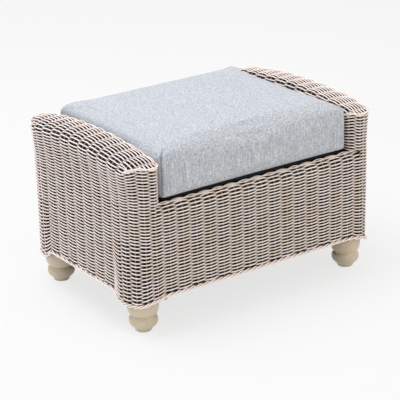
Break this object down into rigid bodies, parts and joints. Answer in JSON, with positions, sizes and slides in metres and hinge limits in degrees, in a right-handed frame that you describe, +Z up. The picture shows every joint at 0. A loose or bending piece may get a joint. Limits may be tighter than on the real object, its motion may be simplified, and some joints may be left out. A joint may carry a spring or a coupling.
{
  "type": "woven footstool",
  "caption": "Woven cane footstool with raised arched arms at both ends, turned bun feet and a loose box cushion between the arms.",
  "frame": {"origin": "on the floor, under the middle of the footstool", "axes": "+X along the long side, from the left arm to the right arm; +Y from the front to the back; +Z up"},
  "size_m": [0.676, 0.471, 0.4193],
  "materials": {
    "cane": "lime-washed natural core cane, woven over and under upright stakes, dull",
    "pole": "peeled cane pole, natural, satin",
    "foot": "turned hardwood, cream lime wash, satin",
    "block": "sawn softwood, bare",
    "steel": "zinc-plated steel bolt",
    "board": "thin board covered with black cloth, matt",
    "cushion_fabric": "pale blue-grey woven melange cloth, matt",
    "foam": "open-cell seating foam",
    "zip": "closed coil zip in grey tape"
  },
  "bodies": {
    "frame": {"arm_hoop_inner_left": "pole", "arm_hoop_inner_right": "pole", "arm_hoop_outer_left": "pole", "arm_hoop_outer_right": "pole", "arm_prop_inner_back_left": "pole", "arm_prop_inner_back_right": "pole", "arm_prop_inner_front_left": "pole", "arm_prop_inner_front_right": "pole", "arm_prop_outer_back_left": "pole", "arm_prop_outer_back_right": "pole", "arm_prop_outer_front_left": "pole", "arm_prop_outer_front_right": "pole", "board_batten_back": "block", "board_batten_front": "block", "corner_block_back_left": "block", "corner_block_back_right": "block", "corner_block_front_left": "block", "corner_block_front_right": "block", "corner_post_back_left": "pole", "corner_post_back_right": "pole", "corner_post_front_left": "pole", "corner_post_front_right": "pole", "foot_back_left": "foot", "foot_back_right": "foot", "foot_bolt_back_left": "steel", "foot_bolt_back_right": "steel", "foot_bolt_front_left": "steel", "foot_bolt_front_right": "steel", "foot_front_left": "foot", "foot_front_right": "foot", "low_rail_back": "pole", "low_rail_front": "pole", "low_rail_left": "pole", "low_rail_right": "pole", "seat_board": "board", "seat_brace_left": "pole", "seat_brace_right": "pole", "seat_rail_back": "pole", "seat_rail_front": "pole", "seat_rail_left": "pole", "seat_rail_right": "pole", "weave_arm_inner_left": "cane", "weave_arm_inner_right": "cane", "weave_arm_top_left": "cane", "weave_arm_top_right": "cane", "weave_back": "cane", "weave_corner_back_left": "cane", "weave_corner_back_right": "cane", "weave_corner_front_left": "cane", "weave_corner_front_right": "cane", "weave_front": "cane", "weave_left": "cane", "weave_right": "cane"},
    "cushion": {"cushion_cover": "cushion_fabric", "cushion_foam": "foam", "cushion_zip": "zip"}
  },
  "joints": [
    {"name": "cushion_lift", "type": "slide", "parent": "frame", "child": "cushion", "axis": [0, 0, 1], "range_m": [0, 0.12]}
  ]
}
